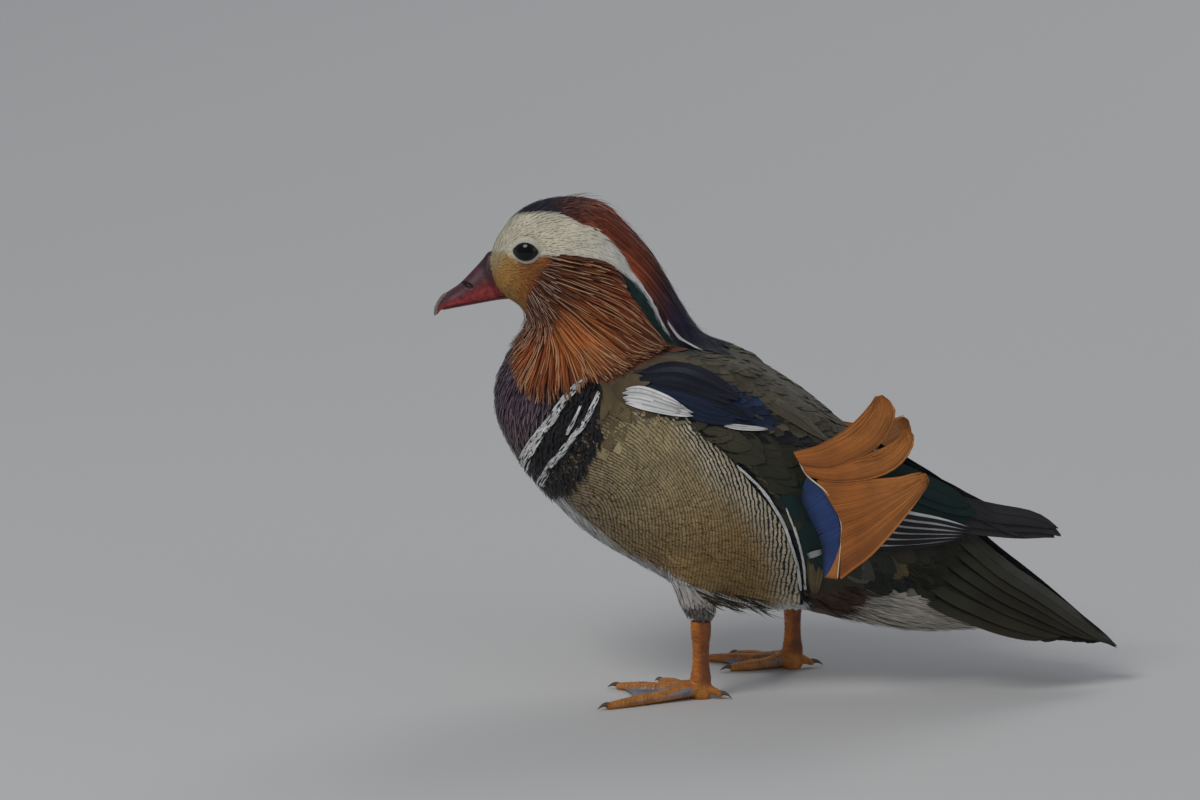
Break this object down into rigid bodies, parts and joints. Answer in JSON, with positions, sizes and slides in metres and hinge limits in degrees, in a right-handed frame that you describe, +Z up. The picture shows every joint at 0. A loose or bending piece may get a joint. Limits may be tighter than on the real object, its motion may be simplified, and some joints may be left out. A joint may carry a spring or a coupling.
{
  "type": "mandarin duck",
  "caption": "Life-size mandarin drake standing on both feet, with a full crest, a hackled neck, orange sail feathers and a long closed tail.",
  "frame": {"origin": "on the floor under the middle of the bird's bounding box", "axes": "-X is where the bill points, -Y is the bird's left side, +Z is up"},
  "size_m": [0.307, 0.1067, 0.224],
  "materials": {
    "head_plumage": "short soft feathers, cream and buff",
    "neck_plumage": "long narrow hackles, chestnut",
    "crest_plumage": "silky long feathers, chestnut to violet",
    "body_plumage": "close soft feathers",
    "dark_plumage": "firm glossy feathers",
    "sail_plumage": "stiff broad feather vanes, orange",
    "bill_horn": "satin horn",
    "eye_gloss": "wet and dark",
    "leg_skin": "scaly skin",
    "claw_horn": "dull horn"
  },
  "bodies": {
    "root": {"head": "head_plumage", "neck": "neck_plumage", "crest": "crest_plumage", "trunk": "body_plumage", "rump": "body_plumage", "tail": "dark_plumage", "upper_bill": "bill_horn", "lower_bill": "bill_horn", "eye_left": "eye_gloss", "scapulars_left": "dark_plumage", "wing_left": "dark_plumage", "primaries_left": "dark_plumage", "sail_left": "sail_plumage", "thigh_left": "body_plumage", "leg_left": "leg_skin", "foot_left": "leg_skin", "claw_left_outer": "claw_horn", "claw_left_middle": "claw_horn", "claw_left_inner": "claw_horn", "claw_left_hind": "claw_horn", "eye_right": "eye_gloss", "scapulars_right": "dark_plumage", "wing_right": "dark_plumage", "primaries_right": "dark_plumage", "sail_right": "sail_plumage", "thigh_right": "body_plumage", "leg_right": "leg_skin", "foot_right": "leg_skin", "claw_right_outer": "claw_horn", "claw_right_middle": "claw_horn", "claw_right_inner": "claw_horn", "claw_right_hind": "claw_horn"}
  },
  "joints": []
}
